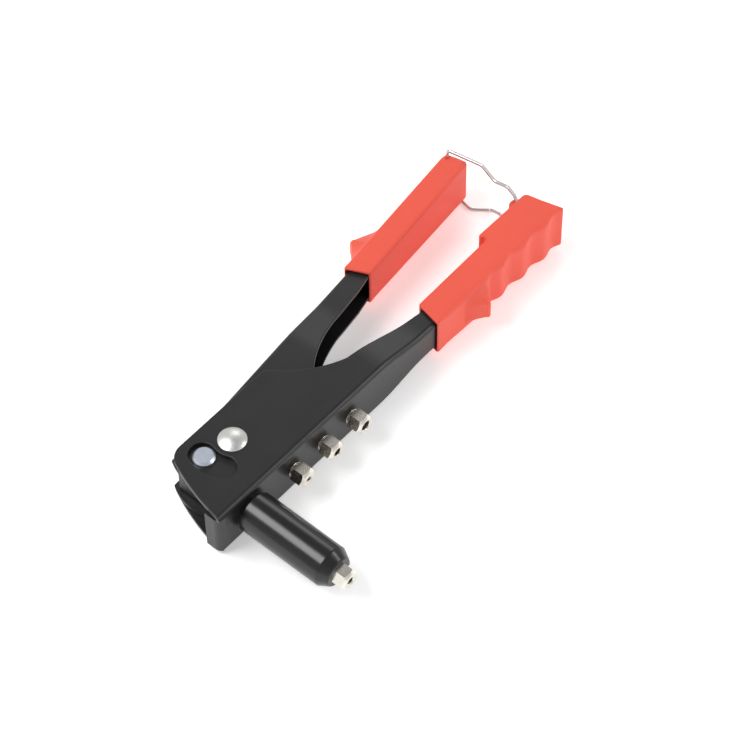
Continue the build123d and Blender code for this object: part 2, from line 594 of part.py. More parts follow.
def jaw(index):
    """One sector of the split cone, parted from the next by a narrow gap."""
    blank = along_barrel([(JAW_BORE / 2, JAW_TAIL + 1.6), (jaw_radius(JAW_TAIL) - 1.2, JAW_TAIL),
                          (jaw_radius(JAW_TAIL), JAW_TAIL), (jaw_radius(JAW_TIP), JAW_TIP),
                          (JAW_BORE / 2, JAW_TIP)])
    reach = CASE_DIAMETER
    half_turn = pi / JAW_COUNT
    shift = JAW_GAP / 2 / sin(half_turn)
    sector = Polyline((shift, 0), (shift + reach, reach * tan(half_turn)),
                      (shift + reach, -reach * tan(half_turn)), close=True)
    wedge = extrude(Plane.XZ * make_face(sector), amount=JAW_LENGTH + 2)
    turn = Rot(0, 360 / JAW_COUNT * index, 0)
    return blank & Pos(BARREL_X, -JAW_TAIL + 1, 0) * turn * wedge


def jaw_pusher():
    head = PUSHER_DIAMETER / 2
    front = JAW_TAIL - 0.1
    return along_barrel([(PUSHER_BORE / 2, front - PUSHER_LENGTH),
                         (PUSHER_STEM / 2, front - PUSHER_LENGTH), (PUSHER_STEM / 2, front - PUSHER_HEAD),
                         (head, front - PUSHER_HEAD), (head, front), (head - 0.9, front),
                         (PUSHER_BORE / 2, front + 0.9)])


def jaw_spring():
    """Compression spring between the pusher's head and the yoke's boss."""
    front = JAW_TAIL - 0.1 - PUSHER_HEAD - SPRING_WIRE / 2 - SPRING_END_PLAY
    rear = BOSS_FRONT + SPRING_WIRE / 2 + SPRING_END_PLAY
    height = front - rear
    path = Helix(height / SPRING_TURNS, height, SPRING_DIAMETER / 2)
    section = Plane(origin=path @ 0, z_dir=path % 0) * Circle(SPRING_WIRE / 2)
    coil = sweep(section, path=path)
    return Pos(BARREL_X, -rear, 0) * Rot(90, 0, 0) * coil


def pull_yoke():
    rear_y = PIN_Y + PIN_DIAMETER / 2 + YOKE_PIN_PLAY + YOKE_BACK_WALL
    front_y = -BOSS_REAR
    block = Pos(BARREL_X, (rear_y + front_y) / 2, 0) * Box(YOKE_WIDTH, rear_y - front_y, YOKE_HEIGHT)
    block = chamfer(block.edges().filter_by(Axis.Z), YOKE_CORNER)
    middle = -PIN_RADIUS + (PIN_RADIUS + PIN_X) / 2
    slot = SlotCenterToCenter(YOKE_SLOT_SHIFT, PIN_DIAMETER + 2 * YOKE_PIN_PLAY)
    block -= Pos(middle, PIN_Y) * extrude(slot, YOKE_HEIGHT, both=True)
    boss = along_barrel([(0, BOSS_REAR - 0.2), (BOSS_DIAMETER / 2, BOSS_REAR - 0.2),
                         (BOSS_DIAMETER / 2, BOSS_FRONT - 0.6),
                         (BOSS_DIAMETER / 2 - 0.6, BOSS_FRONT), (0, BOSS_FRONT)])
    blind = along_barrel([(0, BOSS_REAR + 2), (BOSS_BORE / 2, BOSS_REAR + 3.5),
                          (BOSS_BORE / 2, BOSS_FRONT + 1), (0, BOSS_FRONT + 1)])
    return block + boss - blind


def yoke_locknut():
    rear = CASE_REAR - LOCKNUT_THICKNESS
    nut = along_barrel([(BOSS_DIAMETER / 2, rear), (CASE_DIAMETER / 2 - 0.1, rear),
                        (CASE_DIAMETER / 2 - 0.1, CASE_REAR), (BOSS_DIAMETER / 2, CASE_REAR)])
    keep = Pos(BARREL_X, -CASE_REAR, 0) * Box(
        BOSS_DIAMETER + 2 * LOCKNUT_WALL, 3 * LOCKNUT_THICKNESS, CASE_DIAMETER)
    return nut & keep


# ---- vinyl grips ----

def grip_half(x):
    """Half thickness of either grip at x."""
    share = (x - FIXED_GRIP_START_X) / (FIXED_GRIP_END_X - FIXED_GRIP_START_X)
    return GRIP_START_HALF + (GRIP_END_HALF - GRIP_START_HALF) * share


def fixed_grip_outline():
    """Side view: finger guard, a row of finger grooves, and the step on the palm side."""
    def outer(x):
        share = (x - FIXED_GRIP_START_X) / (FIXED_GRIP_END_X - FIXED_GRIP_START_X)
        growth = FIXED_GRIP_END_WEB_WALL - FIXED_GRIP_WEB_WALL
        return BODY_WEB_Y - FIXED_GRIP_WEB_WALL - growth * share

    peak_y = BODY_WEB_Y - GUARD_HEIGHT

    half_pitch = GROOVE_PITCH / 2
    first_crest = GROOVE_FIRST_X + half_pitch
    points = (FIXED_GRIP_START_X, outer(FIXED_GRIP_START_X)), (GUARD_START_X, outer(GUARD_START_X))
    outline = Line(*points)
    outline += ThreePointArc(points[1], (GUARD_START_X + 6.5, outer(GUARD_START_X) - 1.2),
                             (GUARD_PEAK_X - 3, peak_y + 0.3))
    outline += ThreePointArc((GUARD_PEAK_X - 3, peak_y + 0.3),
                             (GUARD_PEAK_X, peak_y - 0.3), (GUARD_PEAK_X + 1.6, peak_y + 1.2))
    valley = (GROOVE_FIRST_X, outer(GROOVE_FIRST_X) + GROOVE_DEPTH)
    crest = (first_crest, outer(first_crest) - 0.2)
    outline += Line((GUARD_PEAK_X + 1.6, peak_y + 1.2), (GUARD_PEAK_X + 2.6, valley[1] - 1.2))
    outline += ThreePointArc((GUARD_PEAK_X + 2.6, valley[1] - 1.2), valley, crest)
    for i in range(1, GROOVE_COUNT):
        bottom_x = GROOVE_FIRST_X + i * GROOVE_PITCH
        bottom = (bottom_x, outer(bottom_x) + GROOVE_DEPTH)
        next_x = min(bottom_x + half_pitch, FIXED_GRIP_END_X - 1.0)
        next_crest = (next_x, outer(next_x) - 0.2)
        outline += ThreePointArc(crest, bottom, next_crest)
        crest = next_crest
    end_inner = (FIXED_GRIP_END_X - FIXED_GRIP_END_LEAN, FIXED_GRIP_PALM_Y - 0.8)
    outline += Line(crest, (FIXED_GRIP_END_X, crest[1] + 1.2))
    outline += Line((FIXED_GRIP_END_X, crest[1] + 1.2), end_inner)
    outline += Line(end_inner, (end_inner[0] - 1.2, FIXED_GRIP_PALM_Y))
    step_top = (FIXED_GRIP_STEP_X, FIXED_GRIP_PALM_Y)
    outline += Line((end_inner[0] - 1.2, FIXED_GRIP_PALM_Y), step_top)
    step_foot = (FIXED_GRIP_STEP_X + FIXED_GRIP_STEP_UNDERCUT, FIXED_GRIP_INNER_Y + 0.4)
    start_inner = (FIXED_GRIP_START_X + FIXED_GRIP_START_LEAN, FIXED_GRIP_INNER_Y)
    outline += Line(step_top, step_foot) + Line(step_foot, start_inner)
    outline += Line(start_inner, points[0])
    return outline


def fixed_grip():
    side = FIXED_GRIP_START_X, FIXED_GRIP_END_X
    envelope = width_envelope(GRIP_START_HALF, GRIP_END_HALF, *side, side[0] - 1, side[1] + 1, -50, 20)
    grip = plate(fixed_grip_outline(), GRIP_END_HALF) & envelope
    grip += Pos(BAIL_PIVOT_X, BAIL_PIVOT_Y) * Cylinder(BAIL_EAR_RADIUS, 2 * BAIL_EAR_HALF)
    pocket_width = 2 * BAIL_EAR_GAP + BAIL_WIRE
    pocket = Cylinder(BAIL_POCKET_RADIUS, pocket_width)
    pocket += Pos(BAIL_POCKET_RADIUS, BAIL_POCKET_RADIUS / 2) * Box(
        2 * BAIL_POCKET_RADIUS, 3 * BAIL_POCKET_RADIUS, pocket_width)
    for side in (-1, 1):
        grip -= Pos(BAIL_PIVOT_X, BAIL_PIVOT_Y, side * (BAIL_EAR_HALF + pocket_width / 2)) * pocket
    length = BODY_END_X - FIXED_GRIP_START_X
    grip -= Pos(BODY_END_X - length / 2 - 0.5, (BODY_WEB_Y + BODY_RIM_Y) / 2) * Box(
        length + 1, BODY_RIM_Y - BODY_WEB_Y, BODY_HANDLE_WIDTH)
    grip -= steel_ear()
    hole_length = 2 * BAIL_EAR_HALF + pocket_width
    return grip - Pos(BAIL_PIVOT_X, BAIL_PIVOT_Y) * Cylinder(BAIL_HOLE, hole_length)


def lever_grip_corner():
    """Outer end corner of the moving grip, where the latch catches."""
    return lever_point(LEVER_GRIP_END_X, -LEVER_GRIP_WALL)


def lever_grip_end():
    """Inner end corner of the moving grip; its end face leans outwards."""
    return lever_point(LEVER_GRIP_END_X + LEVER_GRIP_END_LEAN, LEVER_GRIP_DEPTH - LEVER_GRIP_WALL)


def lever_grip_round():
    """Centre of the rounding at the outer end corner."""
    corner, low = lever_grip_corner(), lever_grip_end()
    back = (-cos(radians(LEVER_SLOPE)), -sin(radians(LEVER_SLOPE)))
    length = hypot(low[0] - corner[0], low[1] - corner[1])
    down = ((low[0] - corner[0]) / length, (low[1] - corner[1]) / length)
    middle = (back[0] + down[0], back[1] + down[1])
    spread = hypot(*middle)
    half_angle = acos(spread / 2)
    reach = LEVER_GRIP_CORNER / sin(half_angle) / spread
    return (corner[0] + middle[0] * reach, corner[1] + middle[1] * reach)


def lever_grip_outline():
    top = -LEVER_GRIP_WALL
    low = top + LEVER_GRIP_DEPTH
    start = LEVER_GRIP_START_X
    a = lever_point(start, top)
    thumb_foot = lever_point(THUMB_START_X, top)
    peak = lever_point(THUMB_PEAK_X, top - THUMB_HEIGHT)
    heel = lever_point(THUMB_END_X, top)
    sloped = lever_point(THUMB_PEAK_X - 3.2, top - THUMB_HEIGHT + 1.4)
    corner = lever_grip_corner()
    low_end = lever_grip_end()
    low_start = lever_point(start + LEVER_GRIP_START_LEAN, low)
    return (Line(a, thumb_foot) + Line(thumb_foot, sloped)
            + ThreePointArc(sloped, lever_point(THUMB_PEAK_X - 1.4, top - THUMB_HEIGHT + 0.1), peak)
            + Line(peak, heel) + Line(heel, corner) + Line(corner, low_end)
            + Line(low_end, low_start) + Line(low_start, a))


def lever_grip():
    x_low, x_high = LEVER_GRIP_START_X - 2, LEVER_GRIP_END_X + 4
    envelope = width_envelope(grip_half(x_low), grip_half(x_high), x_low, x_high,
                              x_low - 1, x_high + 1, -20, 60)
    grip = plate(lever_grip_outline(), GRIP_END_HALF + 1) & envelope
    corner = lever_grip_corner()
    end_edge = grip.edges().filter_by(Axis.Z).filter_by(
        lambda e: hypot(e.center().X - corner[0], e.center().Y - corner[1]) < 0.1)
    grip = fillet(end_edge, LEVER_GRIP_CORNER)
    return grip - plate(lever_outline(), LEVER_HANDLE_WIDTH / 2)


# ---- latch bail ----

def crossbar_place():
    """The crossbar's axis, hooked over the outer end corner of the moving grip."""
    centre = lever_grip_round()
    reach = LEVER_GRIP_CORNER + BAIL_BAR_GAP + BAIL_WIRE / 2
    return (centre[0] + reach * cos(radians(BAIL_ANGLE)), centre[1] + reach * sin(radians(BAIL_ANGLE)))


def bail_path():
    """The wire's bends, from its upper tip to its lower one, which runs under the moving grip."""
    bar = crossbar_place()
    beside = BAIL_EAR_HALF + BAIL_EAR_GAP + BAIL_WIRE / 2
    bar_top = grip_half(LEVER_GRIP_END_X) - BAIL_WIRE / 4
    under = grip_half(LEVER_GRIP_END_X + LEVER_GRIP_END_LEAN) + BAIL_UNDER_GAP + BAIL_WIRE / 2

    def bend(x, y, z):
        return (BAIL_PIVOT_X + x, BAIL_PIVOT_Y + y, z)

    return [bend(0, 0, BAIL_EAR_HALF - BAIL_TIP), bend(0, 0, beside),
            bend(BAIL_ELBOW_X, BAIL_ELBOW_Y, beside), bend(BAIL_KNEE_X, BAIL_KNEE_Y, beside),
            bend(BAIL_CROOK_X, BAIL_CROOK_Y, (beside + bar_top) / 2),
            bend(BAIL_BOW_X, BAIL_BOW_Y, (beside + bar_top) / 2),
            (*bar, bar_top), (*bar, -under),
            bend(BAIL_LOW_CROOK_X, BAIL_LOW_CROOK_Y, -under),
            bend(BAIL_LOW_BOW_X, BAIL_LOW_BOW_Y, -under),
            bend(BAIL_LOW_KNEE_X, BAIL_LOW_KNEE_Y, -beside),
            bend(0, 0, -beside), bend(0, 0, BAIL_TIP - BAIL_EAR_HALF)]


def latch_bail():
    radii = [1.2, 2.0, 3.0, 3.0, 4.0, 1.8, 1.8, 3.5, 3.0, 3.0, 1.2]
    path = FilletPolyline(*bail_path(), radius=radii)
    section = Plane(origin=path @ 0, z_dir=path % 0) * Circle(BAIL_WIRE / 2)
    return sweep(section, path=path)


# ---- assembly ----

def assembly():
    nodes = {
        "body_channel": body_channel(),
        "fixed_grip": fixed_grip(),
        "barrel": barrel(),
        "barrel_ring_nut": barrel_ring_nut(),
        "nosepiece_fitted": fitted_nosepiece(),
        "pivot_rivet": pivot_rivet(),
        "lever_channel": lever_channel(),
        "lever_grip": lever_grip(),
        "pivot_bush": pivot_bush(),
        "pull_pin": pull_pin(),
        "pull_pin_circlips": pull_pin_circlips(),
        "pull_yoke": pull_yoke(),
        "yoke_locknut": yoke_locknut(),
        "jaw_case": jaw_case(),
        "jaw_pusher": jaw_pusher(),
        "jaw_spring": jaw_spring(),
        "latch_bail": latch_bail(),
    }
    for i in range(len(SPARE_BORES)):
        nodes[f"nosepiece_spare_{i + 1}"] = spare_nosepiece(i)
    for i in range(JAW_COUNT):
        nodes[f"jaw_{i + 1}"] = jaw(i)
    return nodes


def base_centre(nodes):
    """The middle of the assembly's box in X and Y, at its lowest height."""
    box = Compound(children=[Compound(shape.solids()) for shape in nodes.values()]).bounding_box()
    return ((box.min.X + box.max.X) / 2, (box.min.Y + box.max.Y) / 2, box.min.Z)


if __name__ == "__main__":
    pieces = assembly()
    origin = base_centre(pieces)
    os.makedirs("parts", exist_ok=True)
    for name, shape in pieces.items():
        export_step(Pos(-origin[0], -origin[1], -origin[2]) * shape, f"parts/{name}.step")
    print("origin at", [round(value, 3) for value in origin])
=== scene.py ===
import math

import bmesh
import bpy
from mathutils import Matrix, Vector


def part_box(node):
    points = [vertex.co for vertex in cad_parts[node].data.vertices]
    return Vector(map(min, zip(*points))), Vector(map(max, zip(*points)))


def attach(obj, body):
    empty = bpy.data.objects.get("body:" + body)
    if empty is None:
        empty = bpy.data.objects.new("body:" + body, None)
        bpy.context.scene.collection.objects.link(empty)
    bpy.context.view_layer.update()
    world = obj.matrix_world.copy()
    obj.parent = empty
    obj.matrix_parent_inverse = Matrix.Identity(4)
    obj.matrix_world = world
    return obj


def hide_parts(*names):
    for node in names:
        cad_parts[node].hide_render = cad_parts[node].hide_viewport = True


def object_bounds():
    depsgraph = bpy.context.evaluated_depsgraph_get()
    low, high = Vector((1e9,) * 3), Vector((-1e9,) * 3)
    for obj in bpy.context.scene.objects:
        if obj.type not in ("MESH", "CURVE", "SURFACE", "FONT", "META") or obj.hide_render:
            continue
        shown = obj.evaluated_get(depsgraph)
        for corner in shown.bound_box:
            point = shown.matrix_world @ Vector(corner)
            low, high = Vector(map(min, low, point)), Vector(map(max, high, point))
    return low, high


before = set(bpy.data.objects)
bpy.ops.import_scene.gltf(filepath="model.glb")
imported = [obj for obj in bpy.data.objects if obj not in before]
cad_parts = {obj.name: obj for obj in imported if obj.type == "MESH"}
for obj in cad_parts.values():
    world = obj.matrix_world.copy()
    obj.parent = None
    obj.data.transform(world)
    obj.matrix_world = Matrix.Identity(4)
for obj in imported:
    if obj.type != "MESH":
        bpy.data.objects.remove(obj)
CAD_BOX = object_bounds()

MM = 0.001


# ---------------------------------------------------------------- shader maths

class Value:
    """A socket that arithmetic can be written on; each operator adds its Math node."""

    def __init__(self, tree, socket):
        self.tree, self.socket = tree, socket

    def _math(self, operation, *others):
        node = self.tree.nodes.new("ShaderNodeMath")
        node.operation = operation
        for slot, value in zip(node.inputs, others):
            if isinstance(value, Value):
                self.tree.links.new(value.socket, slot)
            else:
                slot.default_value = value
        return Value(self.tree, node.outputs[0])

    def __add__(self, other): return self._math("ADD", self, other)
    def __radd__(self, other): return self._math("ADD", other, self)
    def __sub__(self, other): return self._math("SUBTRACT", self, other)
    def __rsub__(self, other): return self._math("SUBTRACT", other, self)
    def __mul__(self, other): return self._math("MULTIPLY", self, other)
    def __rmul__(self, other): return self._math("MULTIPLY", other, self)
    def __truediv__(self, other): return self._math("DIVIDE", self, other)
    def __rtruediv__(self, other): return self._math("DIVIDE", other, self)
    def clamp(self): return self._math("MAXIMUM", self._math("MINIMUM", self, 1.0), 0.0)


class Finish:
    """A material under construction: one Principled shader and the nodes that feed it."""

    def __init__(self, name):
        self.material = bpy.data.materials.new(name)
        self.material.use_nodes = True
        self.tree = self.material.node_tree
        self.shader = self.tree.nodes["Principled BSDF"]
        place = self.tree.nodes.new("ShaderNodeTexCoord")
        self.place = Value(self.tree, place.outputs["Object"])

    def node(self, kind, settings=None, output=0, **inputs):
        """Any node: its settings first, then the values or links of its sockets."""
        made = self.tree.nodes.new(kind)
        for key, value in (settings or {}).items():
            setattr(made, key, value)
        for key, value in inputs.items():
            self.feed(made.inputs[key.replace("_", " ")], value)
        return Value(self.tree, made.outputs[output])

    def feed(self, socket, value):
        if isinstance(value, Value):
            self.tree.links.new(value.socket, socket)
        else:
            socket.default_value = value

    def noise(self, scale, detail=3.0, roughness=0.55, place=None):
        return self.node("ShaderNodeTexNoise", Vector=place or self.place, Scale=scale,
                         Detail=detail, Roughness=roughness)

    def stretched(self, x, y, z):
        """Object place with its axes scaled, for brushed and drawn grain."""
        return self.node("ShaderNodeMapping", Vector=self.place, Scale=(x, y, z))

    def blend(self, factor, low, high):
        first, second = (c if isinstance(c, Value) else (*c, 1.0) for c in (low, high))
        return self.node("ShaderNodeMix", {"data_type": "RGBA"}, "Result", Factor=factor,
                         A=first, B=second)

    def bump(self, height, distance, strength):
        return self.node("ShaderNodeBump", Height=height, Distance=distance, Strength=strength)

    def finish(self, **sockets):
        for key, value in sockets.items():
            socket = self.shader.inputs[key.replace("_", " ")]
            if socket.type == "RGBA" and isinstance(value, tuple):
                value = (*value, 1.0)
            self.feed(socket, value)
        return self.material


# ---------------------------------------------------------------- finishes

def stoved_enamel():
    """Satin black enamel on the pressings: orange peel, faint dust, a warmer cast in thin patches."""
    f = Finish("stoved_enamel")
    peel = f.noise(700.0, 2.0, 0.5)
    cloud = f.noise(38.0, 3.0)
    speck = f.noise(2400.0, 1.0)
    thin = f.blend(cloud, (0.008, 0.008, 0.009), (0.015, 0.0145, 0.0145))
    colour = f.blend(((speck - 0.62) * 6.0).clamp() * 0.4, thin, (0.040, 0.038, 0.037))
    gloss = 0.30 + cloud * 0.12 + speck * 0.05
    return f.finish(Base_Color=colour, Roughness=gloss, Specular_IOR_Level=0.5,
                    Normal=f.bump(peel, 0.00006, 0.35))


def barrel_enamel():
    """Deeper gloss black on the turned barrel, with faint turning marks under the paint."""
    f = Finish("barrel_enamel")
    rings = f.noise(1.0, 2.0, 0.5, f.stretched(60.0, 1600.0, 60.0))
    cloud = f.noise(60.0, 3.0)
    colour = f.blend(cloud, (0.008, 0.008, 0.009), (0.014, 0.013, 0.014))
    return f.finish(Base_Color=colour, Roughness=0.17 + cloud * 0.08,
                    Normal=f.bump(rings, 0.00002, 0.3))


def moulded_vinyl():
    """Satin red vinyl: fine pebble, slow colour drift, handling polish and a little bloom."""
    f = Finish("moulded_vinyl")
    pebble = f.noise(1700.0, 3.0, 0.6)
    wave = f.noise(95.0, 2.0)
    drift = f.noise(26.0, 3.0)
    base = f.blend(drift, (0.78, 0.086, 0.050), (0.85, 0.104, 0.062))
    colour = f.blend(((pebble - 0.55) * 3.0).clamp() * 0.25, base, (0.90, 0.19, 0.13))
    gloss = 0.44 + drift * 0.12 + pebble * 0.06
    height = pebble * 0.3 + wave * 0.7
    return f.finish(Base_Color=colour, Roughness=gloss, Specular_IOR_Level=0.45,
                    Subsurface_Weight=0.10, Subsurface_Radius=(0.9, 0.25, 0.15),
                    Subsurface_Scale=0.002, Normal=f.bump(height, 0.00006, 0.5))


def plated(name, low, high, roughness, grain=(900.0, 900.0, 900.0), bump=0.00001):
    """Plated steel: slight tint drift, fine grain in the gloss."""
    f = Finish(name)
    tint = f.noise(160.0, 3.0)
    fine = f.noise(1.0, 3.0, 0.6, f.stretched(*grain))
    colour = f.blend(tint, low, high)
    return f.finish(Base_Color=colour, Metallic=1.0, Roughness=roughness + fine * 0.14 + tint * 0.06,
                    Normal=f.bump(fine, bump, 0.4))


ENAMEL = stoved_enamel()
BARREL_ENAMEL = barrel_enamel()
VINYL = moulded_vinyl()
ZINC = plated("bright_zinc", (0.62, 0.68, 0.78), (0.76, 0.82, 0.92), 0.24)
RIVET_STEEL = plated("rivet_plating", (0.70, 0.71, 0.68), (0.84, 0.85, 0.82), 0.30)
NICKEL = plated("bright_nickel", (0.66, 0.62, 0.55), (0.80, 0.77, 0.70), 0.16)
TURNED = plated("turned_steel", (0.36, 0.36, 0.37), (0.50, 0.50, 0.51), 0.26, (200.0, 2600.0, 200.0))
OXIDE = plated("black_oxide", (0.05, 0.05, 0.055), (0.09, 0.09, 0.095), 0.34)
HARD = plated("hardened_steel", (0.22, 0.22, 0.24), (0.32, 0.31, 0.31), 0.28)
WIRE = plated("spring_wire", (0.55, 0.54, 0.53), (0.70, 0.69, 0.68), 0.22, (2400.0, 300.0, 2400.0))

NODE_FINISH = {
    "body_channel": ENAMEL, "lever_channel": ENAMEL, "barrel": BARREL_ENAMEL,
    "fixed_grip": VINYL, "lever_grip": VINYL,
    "pull_pin": ZINC, "pivot_rivet": RIVET_STEEL,
    "nosepiece_fitted": NICKEL,
    "barrel_ring_nut": OXIDE, "yoke_locknut": OXIDE, "pull_yoke": OXIDE,
    "pivot_bush": TURNED, "jaw_case": TURNED, "jaw_pusher": TURNED,
    "pull_pin_circlips": WIRE, "jaw_spring": WIRE, "latch_bail": WIRE,
}
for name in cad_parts:
    if name.startswith("nosepiece"):
        NODE_FINISH[name] = NICKEL
    elif name.startswith("jaw_") and name not in NODE_FINISH:
        NODE_FINISH[name] = HARD


def dress(piece, material):
    piece.data.materials.clear()
    piece.data.materials.append(material)


for name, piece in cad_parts.items():
    dress(piece, NODE_FINISH[name])


# ---------------------------------------------------------------- places on the tool

BUSH_LOW, BUSH_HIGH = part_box("pivot_bush")
PIVOT = tuple((a + b) / 2 for a, b in zip(BUSH_LOW, BUSH_HIGH))


def at(x, y, z):
    """Millimetres from the pivot, x along the handles, to the frame's metres."""
    return (PIVOT[0] + x * MM, PIVOT[1] + y * MM, PIVOT[2] + z * MM)


def span(name, axis):
    """A node's two ends along an axis, in millimetres from the pivot."""
    low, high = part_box(name)
    return ((low[axis] - PIVOT[axis]) / MM, (high[axis] - PIVOT[axis]) / MM)


def smoothstep(value):
    value = min(max(value, 0.0), 1.0)
    return value * value * (3.0 - 2.0 * value)


# ---------------------------------------------------------------- outlines

def rounded(corners, step=0.55):
    """A closed outline through (x, y, radius) corners, each rounded, at even steps."""
    points = []
    count = len(corners)
    for i, (x, y, radius) in enumerate(corners):
        here = Vector((x, y))
        before = Vector(corners[i - 1][:2]) - here
        after = Vector(corners[(i + 1) % count][:2]) - here
        turn = before.angle(after)
        if radius <= 0.0 or turn > math.radians(178.0):
            points.append(here)
            continue
        reach = min(radius / math.tan(turn / 2), 0.49 * before.length, 0.49 * after.length)
        radius = reach * math.tan(turn / 2)
        inward = (before.normalized() + after.normalized()).normalized()
        centre = here + inward * math.hypot(reach, radius)
        first = here + before.normalized() * reach - centre
        sweep = math.pi - turn
        sign = 1.0 if before.cross(after) < 0.0 else -1.0
        arcs = max(3, round(radius * sweep / 0.3))
        for k in range(arcs + 1):
            turned = sign * sweep * k / arcs
            points.append(centre + Vector((first.x * math.cos(turned) - first.y * math.sin(turned),
                                           first.x * math.sin(turned) + first.y * math.cos(turned))))
    return even(points, step)


def even(points, step):
    """The same closed outline with no gap longer than the step."""
    filled = []
    for i, point in enumerate(points):
        following = points[(i + 1) % len(points)]
        parts = max(1, math.ceil((following - point).length / step))
        filled += [point.lerp(following, k / parts) for k in range(parts)]
    return filled


def outward(points):
    """Unit normals of a closed outline, pointing out of it."""
    area = sum(points[i - 1].cross(points[i]) for i in range(len(points)))
    side = 1.0 if area > 0.0 else -1.0
    normals = []
    for i, point in enumerate(points):
        along = (points[(i + 1) % len(points)] - points[i - 1]).normalized()
        normals.append(Vector((along.y, -along.x)) * side)
    return normals


def averaged(values, reach):
    """A closed run of numbers smoothed over its neighbours."""
    count = len(values)
    return [sum(values[(i + k) % count] for k in range(-reach, reach + 1)) / (2 * reach + 1)
            for i in range(count)]


# ---------------------------------------------------------------- vinyl grips

RIM_STEPS = 6
WALL_LEVELS = 17
WALL_REACH = 0.98


def rim_rings():
    """Level, inset share and drop share of each ring, from the underside's middle to the top's."""
    turns = [math.pi / 2 * k / RIM_STEPS for k in range(RIM_STEPS)]
    low = [(-1.0, 1.2, 0.0)] + [(-1.0, 1.0 - math.sin(t), 1.0 - math.cos(t)) for t in turns]
    wall = [((2.0 * k / (WALL_LEVELS - 1) - 1.0) * WALL_REACH, 0.0, 1.0) for k in range(WALL_LEVELS)]
    return low + wall + [(1.0, inset, drop) for _, inset, drop in reversed(low)]


def moulded_block(name, points, half, rim, push):
    """A block of the outline's shape, thicker towards one end, with its rims rounded over.

    half(x) is its half thickness, rim the rounding at each outline point, and push(i, level) how
    far a point is pushed out at a level from -1, the underside, to 1, the top.
    """
    normals = outward(points)
    mesh = bmesh.new()
    loops = []
    for level, inset, drop in rim_rings():
        loop = []
        for i, point in enumerate(points):
            place = point + normals[i] * (push(i, level) - inset * rim[i])
            thick = half(place.x)
            if abs(level) == 1.0:
                height = level * (thick - rim[i] * drop)
            else:
                height = level / WALL_REACH * (thick - rim[i])
            loop.append(mesh.verts.new(at(place.x, place.y, height)))
        loops.append(loop)
    count = len(points)
    for low, high in zip(loops, loops[1:]):
        for i in range(count):
            j = (i + 1) % count
            mesh.faces.new((low[i], low[j], high[j], high[i]))
    mesh.faces.new(loops[0][::-1])
    mesh.faces.new(loops[-1])
    return as_piece(name, mesh)


def as_piece(name, mesh):
    bmesh.ops.recalc_face_normals(mesh, faces=mesh.faces)
    data = bpy.data.meshes.new(name)
    mesh.to_mesh(data)
    mesh.free()
    piece = bpy.data.objects.new(name, data)
    bpy.context.collection.objects.link(piece)
    return piece


def prism(name, points, low, high):
    """A straight block on an outline, from one height to another."""
    mesh = bmesh.new()
    bottom = [mesh.verts.new(at(x, y, low)) for x, y in points]
    top = [mesh.verts.new(at(x, y, high)) for x, y in points]
    for i in range(len(points)):
        j = (i + 1) % len(points)
        mesh.faces.new((bottom[i], bottom[j], top[j], top[i]))
    mesh.faces.new(bottom[::-1])
    mesh.faces.new(top)
    return as_piece(name, mesh)


def disc(x, y, radius, count=48):
    turns = [2 * math.pi * k / count for k in range(count)]
    return [(x + radius * math.cos(turn), y + radius * math.sin(turn)) for turn in turns]


def shaped(piece, cuts=(), joins=()):
    """The piece with blocks joined on and then cut away, as one plain mesh."""
    for operation, blocks in (("UNION", joins), ("DIFFERENCE", cuts)):
        for block in blocks:
            change = piece.modifiers.new(block.name, "BOOLEAN")
            change.operation = operation
            change.solver = "EXACT"
            change.object = block
    bpy.context.view_layer.update()
    seen = piece.evaluated_get(bpy.context.evaluated_depsgraph_get())
    data = bpy.data.meshes.new_from_object(seen)
    piece.modifiers.clear()
    piece.data = data
    for block in (*joins, *cuts):
        bpy.data.objects.remove(block)
    mesh = bmesh.new()
    mesh.from_mesh(data)
    bmesh.ops.holes_fill(mesh, edges=mesh.edges[:], sides=4)
    mesh.to_mesh(data)
    mesh.free()
    return piece


def soft_shaded(piece, material, angle=32.0):
    """Smooth shading with the true corners kept."""
    dress(piece, material)
    for face in piece.data.polygons:
        face.use_smooth = True
        face.material_index = 0
    piece.data.set_sharp_from_angle(angle=math.radians(angle))
    return piece


FIXED_START, FIXED_END = span("fixed_grip", 0)
LEVER_START, LEVER_GRIP_REACH = span("lever_grip", 0)
BODY_WEB = span("body_channel", 1)[0]
BODY_END = span("body_channel", 0)[1]
BODY_RIM = -14.3
GRIP_START_HALF = 11.0
GRIP_END_HALF = span("fixed_grip", 2)[1]
BODY_HANDLE_HALF = 9.0
LEVER_HANDLE_HALF = 8.7
BAIL_PIVOT = (188.6, -8.6)
BAIL_EAR_HALF = 9.9
BAIL_POCKET = (9.9, 12.3)
BAIL_POCKET_REACH = 5.8
VINYL_EAR, STEEL_EAR = 4.2, 3.3
PIVOT_HOLE = 1.05
SLEEVE_GAP = 0.2


def grip_half(x):
    share = (x - FIXED_START) / (FIXED_END - FIXED_START)
    return GRIP_START_HALF + (GRIP_END_HALF - GRIP_START_HALF) * share


def ridge(x, start, peak, end):
    """0 at start and end, 1 at the peak, with its tip rounded off."""
    share = (x - start) / (peak - start) if x < peak else (end - x) / (end - peak)
    share = min(max(share, 0.0), 1.0)
    return share * (1.12 - 0.12 * share) if share < 0.9 else 1.0 - (1.0 - share) ** 2 * 2.0


def fin(level, tip, foot):
    """1 across the fin's tip, falling straight to 0 towards the block's rims."""
    return min(max((foot - abs(level)) / (foot - tip), 0.0), 1.0)


GUARD = (128.5, 138.4, 144.5)
GUARD_HEIGHT = 7.0
GROOVE_FIRST, GROOVE_PITCH, GROOVE_DEPTH = 147.0, 15.5, 1.9
GROOVE_LEAD, GROOVE_BLEND = 5.0, 7.5


